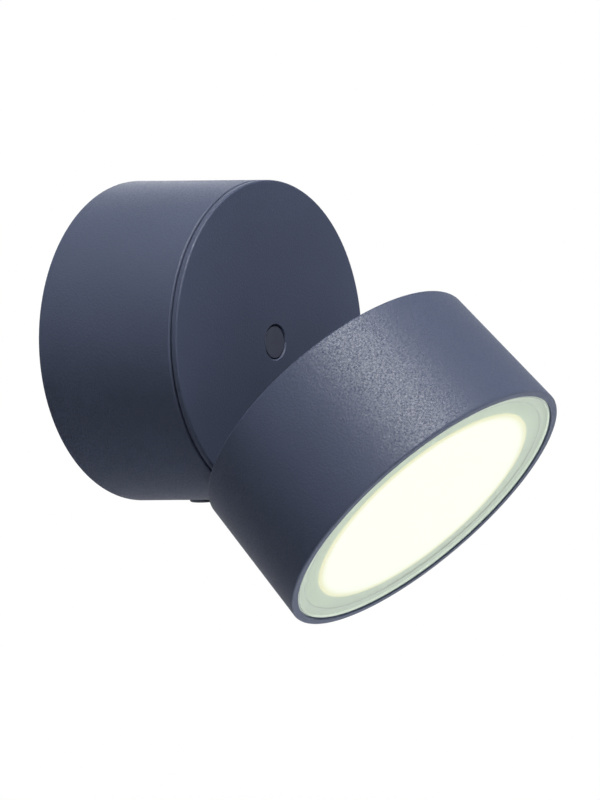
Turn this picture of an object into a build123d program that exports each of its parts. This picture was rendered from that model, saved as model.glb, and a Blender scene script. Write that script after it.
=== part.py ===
from build123d import *
import math
import os

# Outdoor wall light: a tapered wall base, a front disc that swivels on it, and a drum head that tilts.
# Millimetres. The origin is the centre of the wall face, +Z is up, and the light stands out along -Y.

# Base housing
BASE_BACK_DIAMETER = 115.5
BASE_FRONT_DIAMETER = 110.0
BASE_DEPTH = 57.6
BASE_WALL = 3.0
BULKHEAD_THICKNESS = 3.5
WALL_GAP = 0.4
BACK_EDGE_ROUND = 0.3
FRONT_EDGE_ROUND = 0.6
CASTING_ROUND = 1.5
GUSSET_LEG = 8.0
GUSSET_THICKNESS = 2.0
GUSSET_ANGLES = (0, 180, 212, 328)

# Wall gasket
GASKET_WIDTH = 1.6
GASKET_HEIGHT = 2.2
GASKET_CLEARANCE = 0.05

# Wall bracket
BRACKET_THICKNESS = 2.0
BRACKET_ARM = 26.0
BRACKET_CORNER = 3.0
WALL_SCREW_SPACING = 60.0
WALL_SLOT_LENGTH = 13.0
WALL_SLOT_WIDTH = 5.2
SLOT_MARGIN = 6.0
TAB_WIDTH = 14.0
TAB_CLEARANCE = 0.4
TAB_PAST_SCREW = 6.0
HOOK_REACH = 6.6
HOOK_LIP = 1.8
LEDGE_THICKNESS = 2.2
LEDGE_MARGIN = 1.0
HOOK_CLEARANCE = 0.3

# Cable grommet
CABLE_BORE = 9.0
GROMMET_NECK = 14.0
GROMMET_FLANGE = 19.0
GROMMET_FLANGE_THICKNESS = 1.4
GROMMET_FLANGE_SETBACK = 0.2
GROMMET_NOSE = 5.0
GROMMET_NOSE_DIAMETER = 12.0
SEAT_MARGIN = 1.0
EMBOSS_MARGIN = 3.0

# Housing screw
HOUSING_SCREW_OUT = 24.6
HOUSING_SCREW_DIAMETER = 4.0
HOUSING_SCREW_HEAD = 8.4
HOUSING_SCREW_HEAD_HEIGHT = 2.3
HOUSING_SCREW_PROUD = 0.85
HOUSING_SCREW_HEAD_ROUND = 0.7
CLINCH_NUT_DIAMETER = 8.0
CLINCH_NUT_HEIGHT = 3.0
SCREW_END = 1.0
SCREW_CLEARANCE = 0.3
THREAD_CLEARANCE = 0.05

# Terminal block
TERMINAL_POLES = 3
TERMINAL_PITCH = 8.0
TERMINAL_HEIGHT = 16.0
TERMINAL_DEPTH = 13.0
TERMINAL_WIRE_BORE = 3.6
TERMINAL_WIRE_DEPTH = 5.0
TERMINAL_SCREW_DIAMETER = 3.4
TERMINAL_SCREW_INSET = 4.0
TERMINAL_SCREW_LENGTH = 3.0
TERMINAL_SCREW_SINK = 1.0
TERMINAL_NOTCH = 1.2
TERMINAL_NOTCH_DEPTH = 4.0
TERMINAL_GAP = 1.0
SLOT_CUT = 0.8
SLOT_CUT_DEPTH = 0.7

# Small screws, M3 by default
SMALL_SCREW_DIAMETER = 3.0
SMALL_SCREW_HEAD = 5.5
SMALL_SCREW_HEAD_HEIGHT = 2.0
SMALL_SCREW_BITE = 2.4
SMALL_SOCKET = 2.0

# Earth screw
EARTH_SCREW_DIAMETER = 4.0
EARTH_SCREW_HEAD = 7.6
EARTH_SCREW_HEAD_HEIGHT = 2.6
EARTH_WASHER_DIAMETER = 10.0
EARTH_WASHER_THICKNESS = 1.0
EARTH_GAP = 2.0

# LED driver
DRIVER_LENGTH = 58.0
DRIVER_WIDTH = 25.0
DRIVER_HEIGHT = 19.0
DRIVER_ROUND = 2.0
DRIVER_EAR = 8.0
DRIVER_EAR_WIDTH = 10.0
DRIVER_EAR_THICKNESS = 2.5
DRIVER_CLEARANCE = 1.0
DRIVER_BOSS_DIAMETER = 7.0
DRIVER_BOSS_HEIGHT = 3.5

# Swivel disc
DISC_RIM = 2.1
DISC_GAP = 0.8
DISC_FACE = 2.6
DISC_CAVITY = 9.5
DISC_REAR_ROUND = 0.3
SKIRT_CLEARANCE = 0.3
SKIRT_WALL = 3.4
SKIRT_END_GAP = 1.5
HUB_DIAMETER = 19.0
DISC_RIB_THICKNESS = 1.8
DISC_RIB_HEIGHT = 3.5
DISC_RIB_ANGLES = (0, 45, 90, 135, 180)
SEAL_CORD = 1.8
SEAL_SIDE_ROOM = 0.2
SEAL_OUT_FROM_FRONT = 2.6
STOP_RADIUS = 20.0
STOP_PIN_DIAMETER = 3.0
STOP_PIN_REACH = 5.0
STOP_LUG_WIDTH = 3.4
STOP_LUG_LENGTH = 6.0
STOP_LUG_GAP = 1.0

# Swivel bolt, bush and spring
BOLT_DIAMETER = 10.0
BOLT_BORE = 7.0
BOLT_HEAD_ACROSS = 15.0
BOLT_HEAD_HEIGHT = 4.0
BOLT_END_GAP = 0.5
LEAD_WINDOW_WIDTH = 5.0
LEAD_WINDOW_LENGTH = 5.0
LEAD_WINDOW_FROM_END = 1.5
BUSH_WALL = 1.4
BUSH_FLANGE_DIAMETER = 24.0
BUSH_FLANGE_THICKNESS = 0.8
RUNNING_CLEARANCE = 0.05
WASHER_DIAMETER = 20.0
WASHER_THICKNESS = 1.0
SPRING_HEIGHT = 1.8
SPRING_THICKNESS = 0.9
SPRING_DIAMETER = 18.0

# Centre plug
PLUG_HOLE = 12.0
PLUG_BELOW_AXIS = 0.8
PLUG_DEPTH = 3.0
PLUG_CLEARANCE = 0.3
PLUG_RECESS = 0.35
PLUG_ROUND = 0.4
PLUG_HOLE_CHAMFER = 0.4
PLUG_STEM_LENGTH = 4.0
PLUG_STEM_CLEARANCE = 0.1

# Hinge
HINGE_OUT = 9.0
HINGE_ABOVE_DISC_EDGE = 13.4
HINGE_INSIDE_HEAD = 0.5
HINGE_ABOVE_HEAD_EDGE = 29.4
HEAD_TILT = 44.0

# Hinge arm
ARM_GASKET_THICKNESS = 0.8
FOOT_WIDTH = 18.0
FOOT_ABOVE_HINGE = 19.0
FOOT_BELOW_HINGE = 9.0
FOOT_THICKNESS = 5.0
FOOT_CORNER = 5.0
FOOT_EDGE_ROUND = 1.0
NECK_WIDTH = 13.0
NECK_ABOVE_HINGE = 11.0
NECK_BELOW_HINGE = 7.5
BARREL_DIAMETER = 13.0
BARREL_WIDTH = 18.0
SPIGOT_DIAMETER = 11.0
SPIGOT_REACH = 1.0
SPIGOT_CLEARANCE = 0.1
LEAD_BORE = 6.0
LEAD_SLOT_LENGTH = 10.0
ARM_SCREW_DIAMETER = 4.0
ARM_SCREW_HEAD = 7.0
ARM_SCREW_HEAD_HEIGHT = 2.2
ARM_SCREW_SPACING = 10.0
ARM_SCREW_ABOVE_HINGE = 14.0
ARM_SCREW_BITE = 4.0
ARM_SCREW_END = 0.3
ARM_SCREW_SOCKET = 2.5

# Hinge screws and washers
TRUNNION_DIAMETER = 6.0
TRUNNION_BITE = 5.0
TRUNNION_END_GAP = 0.4
HINGE_SCREW_HEAD = 9.0
HINGE_SCREW_HEAD_HEIGHT = 3.0
HINGE_SCREW_SOCKET = 4.0
FRICTION_WASHER_DIAMETER = 12.6
FRICTION_WASHER_THICKNESS = 1.3
FACE_GAP = 0.05
EAR_THICKNESS = 5.0
EAR_DIAMETER = 14.0
EAR_ROOT = 22.0

# Head shell
HEAD_REAR_DIAMETER = 108.8
HEAD_FRONT_DIAMETER = 110.8
HEAD_LENGTH = 48.0
HEAD_WALL = 2.4
HEAD_REAR_ROUND = 0.8
HEAD_FRONT_ROUND = 0.7
RIM_WIDTH = 2.1
RIM_INNER_ROUND = 0.25
RECESS_DEPTH = 8.0
FLANGE_THICKNESS = 2.5
FLANGE_OVERLAP = 7.0
LEDGE_WIDTH = 3.0
LEDGE_HEIGHT = 2.6

# Lens
LENS_THICKNESS = 4.0
LENS_RECESS = 0.5
LENS_CLEARANCE = 0.6
LENS_CHAMFER = 0.5
LENS_GASKET_THICKNESS = 0.8
LENS_GASKET_INSET = 0.3

# Heat sink
HEAT_SINK_PLATE = 3.5
HEAT_SINK_EDGE_GAP = 2.3
BOSS_CLEARANCE = 0.3
COOLING_RIB_COUNT = 9
COOLING_RIB_PITCH = 8.0
COOLING_RIB_THICKNESS = 1.6
COOLING_RIB_HEIGHT = 5.0
COOLING_RIB_INSET = 2.0
COOLING_RIB_ABOVE_EARS = 4.0
LEAD_CHANNEL_WIDTH = 14.0
LEAD_CHANNEL_FLOOR = 2.0
LEAD_CHANNEL_PAST_BOARD = 3.0
HEAT_SINK_SCREW_INSET = 3.0
HEAT_SINK_SCREW_COUNT = 3
HEAT_SINK_SEAL_WIDTH = 1.2
HEAT_SINK_SEAL_DEPTH = 1.0
HEAT_SINK_SEAL_INSET = 0.6
HEAD_GROMMET_DIAMETER = 12.0
HEAD_GROMMET_WALL = 2.0
HEAD_GROMMET_LIP = 0.7
HEAD_GROMMET_LIP_THICKNESS = 1.2

# LED board
PAD_THICKNESS = 0.5
PAD_INSET = 0.5
BOARD_DIAMETER = 77.0
BOARD_THICKNESS = 1.6
BOARD_SCREW_INSET = 4.0
BOARD_SCREW_COUNT = 3
CHIP_LENGTH = 3.5
CHIP_WIDTH = 2.8
CHIP_HEIGHT = 0.8
CHIP_RING_RADII = (11.0, 21.0)
CHIP_RING_COUNTS = (8, 14)
CONNECTOR_LENGTH = 7.0
CONNECTOR_WIDTH = 4.4
CONNECTOR_HEIGHT = 3.8
CONNECTOR_INSET = 4.0
CONNECTOR_WIRE_BORE = 1.6
CONNECTOR_WIRE_PITCH = 3.0
CONNECTOR_WIRE_DEPTH = 3.0

# Reflector and diffuser
REFLECTOR_REAR_DIAMETER = 56.0
REFLECTOR_RIM = 6.6
REFLECTOR_LIP = 1.6
REFLECTOR_FLANGE = 2.6
REFLECTOR_WALL = 1.5
REFLECTOR_LENS_GAP = 0.3
REFLECTOR_CLEARANCE = 0.4
DIFFUSER_THICKNESS = 1.5
DIFFUSER_CLEARANCE = 0.1

# Stations along the base, measured out from the wall
disc_rear = BASE_DEPTH - DISC_RIM
housing_front = disc_rear - DISC_GAP
face_back = BASE_DEPTH - DISC_FACE
bulkhead_front = face_back - DISC_CAVITY
bulkhead_back = bulkhead_front - BULKHEAD_THICKNESS
plug_floor = BASE_DEPTH - PLUG_DEPTH
bush_front = bulkhead_front + BUSH_FLANGE_THICKNESS
hub_end = bush_front + FACE_GAP
skirt_end = bulkhead_front + SKIRT_END_GAP
washer_front = bulkhead_back - FACE_GAP
washer_back = washer_front - WASHER_THICKNESS
bolt_seat = washer_back - SPRING_HEIGHT
arm_base = BASE_DEPTH + ARM_GASKET_THICKNESS
hinge_out = BASE_DEPTH + HINGE_OUT

# Radii that pieces of the base and disc share
disc_radius = BASE_FRONT_DIAMETER / 2
bolt_radius = BOLT_DIAMETER / 2
bush_bore = bolt_radius + RUNNING_CLEARANCE
bush_radius = bush_bore + BUSH_WALL
hub_bore = bolt_radius + THREAD_CLEARANCE
hinge_height = HINGE_ABOVE_DISC_EDGE - disc_radius
lead_window_start = hub_end + LEAD_WINDOW_FROM_END
PLUG_PLACE = Pos(0, -PLUG_BELOW_AXIS, 0)

# Stations along the head, measured from its rear rim to the lens
flange_front = RECESS_DEPTH + FLANGE_THICKNESS
plate_front = flange_front + HEAT_SINK_PLATE
pad_front = plate_front + PAD_THICKNESS
board_front = pad_front + BOARD_THICKNESS
lens_front = HEAD_LENGTH - LENS_RECESS
lens_back = lens_front - LENS_THICKNESS
lens_seat = lens_back - LENS_GASKET_THICKNESS
reflector_front = lens_back - REFLECTOR_LENS_GAP
diffuser_front = lens_back - FACE_GAP
diffuser_back = diffuser_front - DIFFUSER_THICKNESS
channel_floor = RECESS_DEPTH + LEAD_CHANNEL_FLOOR

# Radii and places that pieces of the head share
head_rear_radius = HEAD_REAR_DIAMETER / 2
head_front_radius = HEAD_FRONT_DIAMETER / 2
lens_bore = head_front_radius - RIM_WIDTH
lens_radius = lens_bore - LENS_CLEARANCE
ledge_radius = lens_bore - LEDGE_WIDTH
reflector_radius = ledge_radius - REFLECTOR_CLEARANCE
diffuser_seat = reflector_radius - REFLECTOR_RIM
board_radius = BOARD_DIAMETER / 2
board_screw_radius = board_radius - BOARD_SCREW_INSET
hinge_below_axis = HINGE_ABOVE_HEAD_EDGE - head_rear_radius
ear_inner = BARREL_WIDTH / 2 + FRICTION_WASHER_THICKNESS + 2 * FACE_GAP
ear_outer = ear_inner + EAR_THICKNESS
trunnion_radius = TRUNNION_DIAMETER / 2

# Where the head's own frame sits on the wall frame, from the hinge that they share
tilt = math.radians(HEAD_TILT)
head_out = hinge_out - HINGE_INSIDE_HEAD * math.cos(tilt) - hinge_below_axis * math.sin(tilt)
head_up = hinge_height + HINGE_INSIDE_HEAD * math.sin(tilt) - hinge_below_axis * math.cos(tilt)

# Local frames: x along the wall, y up, z out of the wall or along the head
WALL_FRAME = Location((0, 0, 0), (90, 0, 0))
HEAD_FRAME = Location((0, -head_out, head_up), (90 + HEAD_TILT, 0, 0))


def base_radius(out):
    """Outer radius of the tapered base at a distance out from the wall."""
    share = out / BASE_DEPTH
    return (BASE_BACK_DIAMETER + (BASE_FRONT_DIAMETER - BASE_BACK_DIAMETER) * share) / 2


def cavity_radius(out):
    """Inner radius of the base housing's side wall."""
    return base_radius(out) - BASE_WALL


def head_radius(along):
    """Outer radius of the slightly flared head at a distance from its rear rim."""
    share = along / HEAD_LENGTH
    return head_rear_radius + (head_front_radius - head_rear_radius) * share


def head_wall(along):
    """Inner radius of the head's side wall."""
    return head_radius(along) - HEAD_WALL


# The heat sink's edge and the flange that it sits on follow the head's side wall
plate_radius = head_wall(flange_front) - HEAT_SINK_EDGE_GAP
flange_radius = plate_radius - FLANGE_OVERLAP
boss_radius = flange_radius - BOSS_CLEARANCE
heat_sink_screw_radius = plate_radius - HEAT_SINK_SCREW_INSET


def turned(*corners):
    """Solid of revolution about local z. A corner is (radius, height) or (radius, height, round)."""
    points = [corner[:2] for corner in corners]
    rounds = [corner[2] if len(corner) > 2 else 0 for corner in corners]
    outline = FilletPolyline(*points, radius=rounds, close=True)
    return revolve(Plane.XZ * make_face(outline), Axis.Z)


def ring(inner, outer, low, high):
    """Plain ring about local z."""
    return turned((inner, low), (outer, low), (outer, high), (inner, high))


def rod(radius, low, high):
    """Plain rod along local z."""
    return Pos(0, 0, low) * extrude(Circle(radius), amount=high - low)


def on_circle(radius, count, start):
    """Places spread evenly round a circle, each turned to face outwards."""
    step = 360 / count
    return [Rot(0, 0, start + index * step) * Pos(radius, 0, 0) for index in range(count)]


def spaced(count, pitch):
    """Evenly spaced offsets about zero."""
    first = -(count - 1) * pitch / 2
    return [first + index * pitch for index in range(count)]


def group(places, solid):
    """Copies of one solid that share a node."""
    return Part() + [place * solid for place in places]


def socket_screw(diameter, length, head, head_height, socket):
    """Round headed screw with a hex socket: seat at z 0, head above it, shank below."""
    body = turned(
        (0, -length),
        (diameter / 2, -length),
        (diameter / 2, 0),
        (head / 2, 0),
        (head / 2, head_height, head_height / 3),
        (0, head_height),
    )
    hexagon = RegularPolygon(socket / 2, 6, major_radius=False)
    return body - Pos(0, 0, head_height / 2) * extrude(hexagon, amount=head_height)


def small_screw(length):
    """M3 screw used on the driver, the terminal block and the head's inner pieces."""
    return socket_screw(
        SMALL_SCREW_DIAMETER, length, SMALL_SCREW_HEAD, SMALL_SCREW_HEAD_HEIGHT, SMALL_SOCKET
    )


small_thread = SMALL_SCREW_DIAMETER / 2 + THREAD_CLEARANCE
small_hole = SMALL_SCREW_DIAMETER / 2 + SCREW_CLEARANCE

# Bracket faces that meet the housing, and the pieces that stand on the bracket
tab_end = HOUSING_SCREW_OUT + TAB_PAST_SCREW
tab_face = math.sqrt(cavity_radius(tab_end) ** 2 - (TAB_WIDTH / 2) ** 2) - TAB_CLEARANCE
hook_top = math.sqrt(cavity_radius(HOOK_REACH) ** 2 - (TAB_WIDTH / 2) ** 2) - TAB_CLEARANCE
hook_face = hook_top - HOOK_LIP
seat_radius = GROMMET_FLANGE / 2 + SEAT_MARGIN
emboss_radius = seat_radius + EMBOSS_MARGIN
emboss_rise = GROMMET_FLANGE_SETBACK + GROMMET_FLANGE_THICKNESS
emboss_front = emboss_rise + BRACKET_THICKNESS
terminal_top = -(emboss_radius + TERMINAL_GAP)
terminal_centre = terminal_top - TERMINAL_HEIGHT / 2
terminal_front = BRACKET_THICKNESS + TERMINAL_DEPTH
terminal_poles = spaced(TERMINAL_POLES, TERMINAL_PITCH)
terminal_gaps = spaced(TERMINAL_POLES - 1, TERMINAL_PITCH)
earth_height = emboss_radius + EARTH_GAP + EARTH_WASHER_DIAMETER / 2

# Driver place: as high in the housing as its corners allow
driver_ear_front = bulkhead_back - DRIVER_BOSS_HEIGHT
driver_ear_back = driver_ear_front - DRIVER_EAR_THICKNESS
driver_reach = cavity_radius(bulkhead_back) - CASTING_ROUND - DRIVER_CLEARANCE
driver_top = math.sqrt(driver_reach ** 2 - (DRIVER_LENGTH / 2) ** 2)
driver_centre = driver_top - DRIVER_WIDTH / 2
driver_screw_x = DRIVER_LENGTH / 2 + DRIVER_EAR / 2
driver_places = [Pos(side * driver_screw_x, driver_centre, 0) for side in (-1, 1)]

# Housing screw seat, sunk so that only a low dome of the head stands proud of the base
screw_top = base_radius(HOUSING_SCREW_OUT) + HOUSING_SCREW_PROUD
screw_seat = screw_top - HOUSING_SCREW_HEAD_HEIGHT
nut_inner = tab_face - BRACKET_THICKNESS - CLINCH_NUT_HEIGHT
SCREW_PLACE = Pos(0, 0, HOUSING_SCREW_OUT) * Rot(90, 0, 0)

# Arm screw places, on the disc's face
arm_screw_height = hinge_height + ARM_SCREW_ABOVE_HINGE
arm_screw_places = [Pos(side * ARM_SCREW_SPACING / 2, arm_screw_height, 0) for side in (-1, 1)]
foot_centre = hinge_height + (FOOT_ABOVE_HINGE - FOOT_BELOW_HINGE) / 2
foot_outline = Pos(0, foot_centre) * RectangleRounded(
    FOOT_WIDTH, FOOT_ABOVE_HINGE + FOOT_BELOW_HINGE, FOOT_CORNER
)


def gusset():
    """Triangular rib between the bulkhead's back and the side wall."""
    wall = cavity_radius(bulkhead_back)
    sink = BASE_WALL / 2
    corners = [
        (wall - GUSSET_LEG, bulkhead_back + sink),
        (wall - GUSSET_LEG, bulkhead_back),
        (cavity_radius(bulkhead_back - GUSSET_LEG), bulkhead_back - GUSSET_LEG),
        (wall + sink, bulkhead_back - GUSSET_LEG),
        (wall + sink, bulkhead_back + sink),
    ]
    face = Plane.XZ * make_face(Polyline(*corners, close=True))
    return extrude(face, amount=GUSSET_THICKNESS / 2, both=True)


def base_housing():
    """Tapered cast cup, open at the wall, with a bulkhead set back behind the swivel disc."""
    recess = base_radius(housing_front) - BASE_WALL
    bore = bush_radius + THREAD_CLEARANCE
    cup = turned(
        (base_radius(WALL_GAP), WALL_GAP, BACK_EDGE_ROUND),
        (base_radius(housing_front), housing_front, FRONT_EDGE_ROUND),
        (recess, housing_front),
        (recess, bulkhead_front),
        (bore, bulkhead_front),
        (bore, bulkhead_back),
        (cavity_radius(bulkhead_back), bulkhead_back, CASTING_ROUND),
        (cavity_radius(WALL_GAP), WALL_GAP),
    )
    cup += [Rot(0, 0, angle) * gusset() for angle in GUSSET_ANGLES]
    cup += group(driver_places, rod(DRIVER_BOSS_DIAMETER / 2, driver_ear_front, bulkhead_front))
    cup -= group(driver_places, rod(small_thread, driver_ear_front, driver_ear_front + DRIVER_BOSS_HEIGHT))
    cup += hook_ledge()
    groove_middle = base_radius(WALL_GAP) - BASE_WALL / 2
    groove = GASKET_WIDTH / 2 + GASKET_CLEARANCE
    cup -= ring(groove_middle - groove, groove_middle + groove, 0, GASKET_HEIGHT)
    cup -= SCREW_PLACE * rod(HOUSING_SCREW_DIAMETER / 2 + SCREW_CLEARANCE, nut_inner, screw_top)
    cup -= SCREW_PLACE * rod(HOUSING_SCREW_HEAD / 2 + SCREW_CLEARANCE, screw_seat, screw_top)
    pin_hole = STOP_PIN_DIAMETER / 2 + THREAD_CLEARANCE
    cup -= Pos(0, STOP_RADIUS, 0) * rod(pin_hole, bulkhead_back, bulkhead_front)
    return cup


def hook_ledge():
    """Ledge under the housing's top that drops behind the bracket's hook."""
    front = HOOK_REACH - BRACKET_THICKNESS - HOOK_CLEARANCE
    low = hook_face + HOOK_CLEARANCE
    width = TAB_WIDTH + 2 * LEDGE_MARGIN
    block = Rectangle(width, BASE_WALL * 2, align=(Align.CENTER, Align.MIN))
    ledge = Pos(0, low, front - LEDGE_THICKNESS) * extrude(block, amount=LEDGE_THICKNESS)
    return ledge & rod(cavity_radius(front) + BASE_WALL / 2, 0, front)


def wall_gasket():
    """Rubber cord in the housing's rear groove, standing proud by the gap to the wall."""
    middle = base_radius(WALL_GAP) - BASE_WALL / 2
    return ring(middle - GASKET_WIDTH / 2, middle + GASKET_WIDTH / 2, 0, GASKET_HEIGHT)


def wall_bracket():
    """Stamped steel cross: two wall slots, an embossed cable hole, a top hook and a screw tab."""
    span = WALL_SCREW_SPACING + WALL_SLOT_LENGTH + 2 * SLOT_MARGIN
    plate = RectangleRounded(span, BRACKET_ARM, BRACKET_CORNER)
    upright = Rectangle(TAB_WIDTH, tab_face + hook_face)
    body = Rectangle(BRACKET_ARM, tab_face + hook_face - BRACKET_ARM / 2)
    middle = (hook_face - tab_face) / 2
    plate += Pos(0, middle) * upright
    plate += Pos(0, middle) * body
    slot = SlotOverall(WALL_SLOT_LENGTH, WALL_SLOT_WIDTH)
    plate -= [Pos(side * WALL_SCREW_SPACING / 2, 0) * slot for side in (-1, 1)]
    bracket = extrude(plate, amount=BRACKET_THICKNESS)
    bracket += rod(emboss_radius, BRACKET_THICKNESS, emboss_front)
    bracket -= rod(seat_radius, 0, emboss_rise)
    bracket -= rod(GROMMET_NECK / 2, 0, emboss_front)
    tab = Rectangle(TAB_WIDTH, BRACKET_THICKNESS, align=(Align.CENTER, Align.MIN))
    bracket += Pos(0, -tab_face, 0) * extrude(tab, amount=tab_end)
    hook = Rectangle(TAB_WIDTH, BRACKET_THICKNESS, align=(Align.CENTER, Align.MAX))
    bracket += Pos(0, hook_face, 0) * extrude(hook, amount=HOOK_REACH)
    lip = Rectangle(TAB_WIDTH, BRACKET_THICKNESS + HOOK_LIP, align=(Align.CENTER, Align.MAX))
    lip_back = HOOK_REACH - BRACKET_THICKNESS
    bracket += Pos(0, hook_top, lip_back) * extrude(lip, amount=BRACKET_THICKNESS)
    thread = HOUSING_SCREW_DIAMETER / 2 + THREAD_CLEARANCE
    bracket -= SCREW_PLACE * rod(thread, nut_inner, tab_face)
    for x in terminal_gaps:
        bracket -= Pos(x, terminal_centre, 0) * rod(small_thread, 0, BRACKET_THICKNESS)
    earth_thread = EARTH_SCREW_DIAMETER / 2 + THREAD_CLEARANCE
    bracket -= Pos(0, earth_height, 0) * rod(earth_thread, 0, BRACKET_THICKNESS)
    return bracket


def cable_grommet():
    """Rubber grommet in the bracket's embossed hole, with a tapered nose on the inside."""
    bore = CABLE_BORE / 2
    neck = GROMMET_NECK / 2
    flange = GROMMET_FLANGE / 2
    return turned(
        (bore, GROMMET_FLANGE_SETBACK),
        (flange, GROMMET_FLANGE_SETBACK),
        (flange, emboss_rise),
        (neck, emboss_rise),
        (neck, emboss_front),
        (flange, emboss_front),
        (flange, emboss_front + GROMMET_FLANGE_THICKNESS),
        (GROMMET_NOSE_DIAMETER / 2, emboss_front + GROMMET_NOSE),
        (bore, emboss_front + GROMMET_NOSE),
    )


def housing_screw():
    """Domed M4 screw under the base, through the housing into the bracket's tab."""
    shank = HOUSING_SCREW_DIAMETER / 2
    head = HOUSING_SCREW_HEAD / 2
    body = turned(
        (0, nut_inner - SCREW_END),
        (shank, nut_inner - SCREW_END),
        (shank, screw_seat),
        (head, screw_seat),
        (head, screw_top, HOUSING_SCREW_HEAD_ROUND),
        (0, screw_top),
    )
    hexagon = RegularPolygon(shank / 2, 6, major_radius=False)
    socket = extrude(hexagon, amount=HOUSING_SCREW_HEAD_HEIGHT / 2)
    return SCREW_PLACE * (body - Pos(0, 0, screw_top - HOUSING_SCREW_HEAD_HEIGHT / 2) * socket)


def clinch_nut():
    """Round clinch nut on the inner side of the bracket's tab."""
    thread = HOUSING_SCREW_DIAMETER / 2 + THREAD_CLEARANCE
    return SCREW_PLACE * ring(thread, CLINCH_NUT_DIAMETER / 2, nut_inner, nut_inner + CLINCH_NUT_HEIGHT)


def terminal_screw_places():
    """Two clamping screws on each pole, one by each row of wire entries."""
    offset = TERMINAL_HEIGHT / 2 - TERMINAL_SCREW_INSET
    rows = [terminal_centre - offset, terminal_centre + offset]
    return [Pos(x, y, terminal_front) for x in terminal_poles for y in rows]


def terminal_block():
    """Screw terminal block with wire entries above and below and a well over each screw."""
    width = TERMINAL_POLES * TERMINAL_PITCH
    outline = Pos(0, terminal_centre) * Rectangle(width, TERMINAL_HEIGHT)
    block = Pos(0, 0, BRACKET_THICKNESS) * extrude(outline, amount=TERMINAL_DEPTH)
    notch = Rectangle(TERMINAL_NOTCH, TERMINAL_HEIGHT)
    notch_cut = extrude(notch, amount=-TERMINAL_NOTCH_DEPTH)
    block -= [Pos(x, terminal_centre, terminal_front) * notch_cut for x in terminal_gaps]
    well_depth = TERMINAL_SCREW_SINK + TERMINAL_SCREW_LENGTH
    well = rod(TERMINAL_SCREW_DIAMETER / 2 + THREAD_CLEARANCE, -well_depth, 0)
    block -= group(terminal_screw_places(), well)
    entry_out = terminal_front - well_depth - TERMINAL_WIRE_BORE / 2
    entry = Rot(90, 0, 0) * rod(TERMINAL_WIRE_BORE / 2, 0, TERMINAL_WIRE_DEPTH)
    for x in terminal_poles:
        block -= Pos(x, terminal_top, entry_out) * entry
        block -= Pos(x, terminal_top - TERMINAL_HEIGHT + TERMINAL_WIRE_DEPTH, entry_out) * entry
    fixing = rod(small_hole, BRACKET_THICKNESS, terminal_front)
    fixing_seat = terminal_front - TERMINAL_NOTCH_DEPTH - SMALL_SCREW_HEAD_HEIGHT
    fixing += rod(SMALL_SCREW_HEAD / 2 + SCREW_CLEARANCE, fixing_seat, terminal_front)
    block -= [Pos(x, terminal_centre, 0) * fixing for x in terminal_gaps]
    return block


def terminal_screws():
    """Slotted clamping screws, sunk in the wells of the terminal block."""
    top = -TERMINAL_SCREW_SINK
    screw = rod(TERMINAL_SCREW_DIAMETER / 2, top - TERMINAL_SCREW_LENGTH, top)
    slot = Box(TERMINAL_SCREW_DIAMETER, SLOT_CUT, 2 * SLOT_CUT_DEPTH)
    return group(terminal_screw_places(), screw - Pos(0, 0, top) * slot)


def terminal_mount_screws():
    """Screws that hold the terminal block on the bracket."""
    seat = terminal_front - TERMINAL_NOTCH_DEPTH - SMALL_SCREW_HEAD_HEIGHT
    places = [Pos(x, terminal_centre, seat) for x in terminal_gaps]
    return group(places, small_screw(seat))


def earth_washer():
    """Plain washer under the earth screw."""
    bore = EARTH_SCREW_DIAMETER / 2 + THREAD_CLEARANCE
    top = BRACKET_THICKNESS + EARTH_WASHER_THICKNESS
    washer = ring(bore, EARTH_WASHER_DIAMETER / 2, BRACKET_THICKNESS, top)
    return Pos(0, earth_height, 0) * washer


def earth_screw():
    """Slotted earth screw in the bracket's upper arm."""
    seat = BRACKET_THICKNESS + EARTH_WASHER_THICKNESS
    shank = EARTH_SCREW_DIAMETER / 2
    head = EARTH_SCREW_HEAD / 2
    top = EARTH_SCREW_HEAD_HEIGHT
    screw = turned((0, -seat), (shank, -seat), (shank, 0), (head, 0), (head, top, top / 3), (0, top))
    screw -= Pos(0, 0, top) * Box(EARTH_SCREW_HEAD, SLOT_CUT, 2 * SLOT_CUT_DEPTH)
    return Pos(0, earth_height, seat) * screw


def led_driver():
    """Potted driver box with an ear at each end, screwed to bosses behind the bulkhead."""
    outline = RectangleRounded(DRIVER_LENGTH, DRIVER_WIDTH, DRIVER_ROUND)
    box = extrude(Pos(0, driver_centre) * outline, amount=-DRIVER_HEIGHT)
    box = fillet(box.faces().sort_by(Axis.Z)[0].edges(), DRIVER_ROUND / 2)
    ears = Rectangle(DRIVER_LENGTH + 2 * DRIVER_EAR, DRIVER_EAR_WIDTH)
    box += extrude(Pos(0, driver_centre) * ears, amount=-DRIVER_EAR_THICKNESS)
    hole = rod(small_hole, -DRIVER_EAR_THICKNESS, 0)
    box -= group(driver_places, hole)
    return Pos(0, 0, driver_ear_front) * box


def driver_screws():
    """Screws through the driver's ears into the housing's bosses."""
    screw = Rot(180, 0, 0) * small_screw(DRIVER_EAR_THICKNESS + SMALL_SCREW_BITE)
    return group(driver_places, Pos(0, 0, driver_ear_back) * screw)


def swivel_bush():
    """Flanged plastic bush in the bulkhead that the hollow bolt turns in and the hub runs on."""
    return turned(
        (bush_bore, bulkhead_back),
        (bush_radius, bulkhead_back),
        (bush_radius, bulkhead_front),
        (BUSH_FLANGE_DIAMETER / 2, bulkhead_front),
        (BUSH_FLANGE_DIAMETER / 2, bush_front),
        (bush_bore, bush_front),
    )


def stop_pin():
    """Pin in the bulkhead that the disc's lug meets at each end of the swivel."""
    pin = rod(STOP_PIN_DIAMETER / 2, bulkhead_back, bulkhead_front + STOP_PIN_REACH)
    return Pos(0, STOP_RADIUS, 0) * pin


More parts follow.
